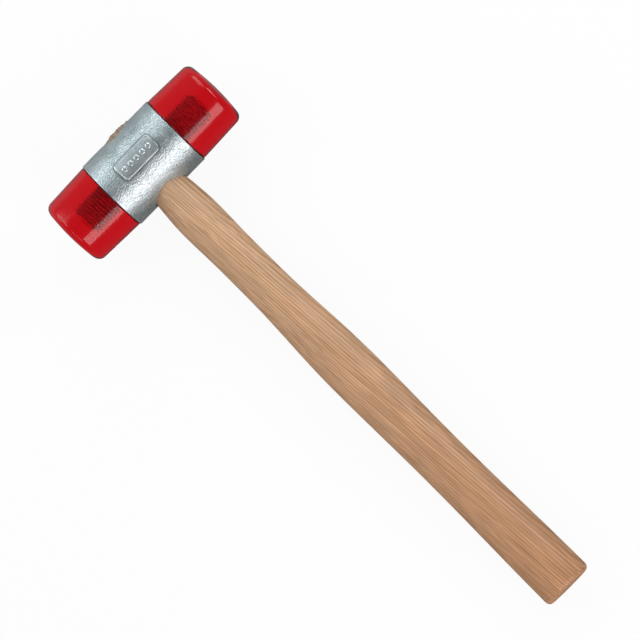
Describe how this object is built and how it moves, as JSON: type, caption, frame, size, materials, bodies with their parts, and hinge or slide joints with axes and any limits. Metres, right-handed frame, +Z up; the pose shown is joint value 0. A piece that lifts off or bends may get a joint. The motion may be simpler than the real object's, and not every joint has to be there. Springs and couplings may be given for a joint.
{
  "type": "soft face hammer",
  "caption": "Hand hammer with a galvanised cast drum head, clear red plastic screw-on striking faces at both ends and a wedged, swelled ash handle.",
  "frame": {"origin": "on the bench surface that the hammer lies on, under the middle of its length and width", "axes": "+X along the head towards the right striking face, +Y up the handle towards the head, +Z up from the bench"},
  "size_m": [0.1046, 0.3204, 0.0415],
  "materials": {
    "galvanised_iron": "matte",
    "clear_red_plastic": "gloss",
    "stud_steel": "satin",
    "ash_wood": "satin",
    "wedge_wood": "matte",
    "wedge_steel": "satin"
  },
  "bodies": {
    "hammer": {"head_housing": "galvanised_iron", "handle": "ash_wood", "wooden_wedge": "wedge_wood", "ring_wedge": "wedge_steel"},
    "left_stud": {"face_stud_left": "stud_steel"},
    "left_face": {"striking_face_left": "clear_red_plastic"},
    "right_stud": {"face_stud_right": "stud_steel"},
    "right_face": {"striking_face_right": "clear_red_plastic"}
  },
  "joints": [
    {"name": "left_stud_advance", "type": "slide", "parent": "hammer", "child": "left_stud", "axis": [-1, 0, 0], "range_m": [0, 0.014]},
    {"name": "left_face_turn", "type": "hinge", "parent": "left_stud", "child": "left_face", "pos_m": [-0.02325, 0.13975, 0.0205], "axis": [-1, 0, 0], "range_deg": [0, 2880]},
    {"name": "right_stud_advance", "type": "slide", "parent": "hammer", "child": "right_stud", "axis": [1, 0, 0], "range_m": [0, 0.014]},
    {"name": "right_face_turn", "type": "hinge", "parent": "right_stud", "child": "right_face", "pos_m": [0.02325, 0.13975, 0.0205], "axis": [1, 0, 0], "range_deg": [0, 2880]}
  ],
  "couplings": [
    {"joint": "left_stud_advance", "follows": "left_face_turn", "m_per_rad": 0.00027852},
    {"joint": "right_stud_advance", "follows": "right_face_turn", "m_per_rad": 0.00027852}
  ]
}
